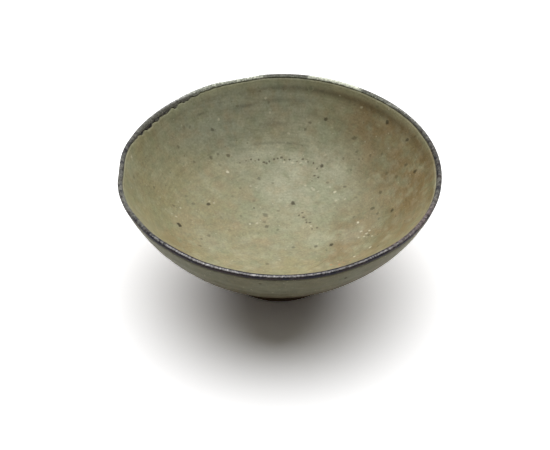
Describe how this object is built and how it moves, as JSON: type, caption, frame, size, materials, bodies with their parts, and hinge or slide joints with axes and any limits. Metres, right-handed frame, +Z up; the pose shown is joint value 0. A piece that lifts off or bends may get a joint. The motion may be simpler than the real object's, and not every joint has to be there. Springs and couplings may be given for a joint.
{
  "type": "tea bowl",
  "caption": "Wide, shallow stoneware tea bowl with a grey-green glaze, a turned foot ring and a thin dark metal edging over the lip.",
  "frame": {"origin": "centre of the foot ring's flat underside, on the table", "axes": "+Z up along the bowl's axis; the bowl is round, so +X and +Y are free"},
  "size_m": [0.14, 0.14, 0.055],
  "materials": {
    "stoneware": "matt, slightly gritty fired clay",
    "ash_glaze": "soft gloss grey-green to ochre glaze with dark iron specks",
    "lacquer": "dark brown-black lacquer",
    "rim_metal": "dark tarnished white metal with small, silvery rubbed patches"
  },
  "bodies": {
    "root": {"clay_body": "stoneware", "foot_ring": "stoneware", "inner_glaze": "ash_glaze", "outer_glaze": "ash_glaze", "rim_lacquer": "lacquer", "rim_band": "rim_metal"}
  },
  "joints": []
}
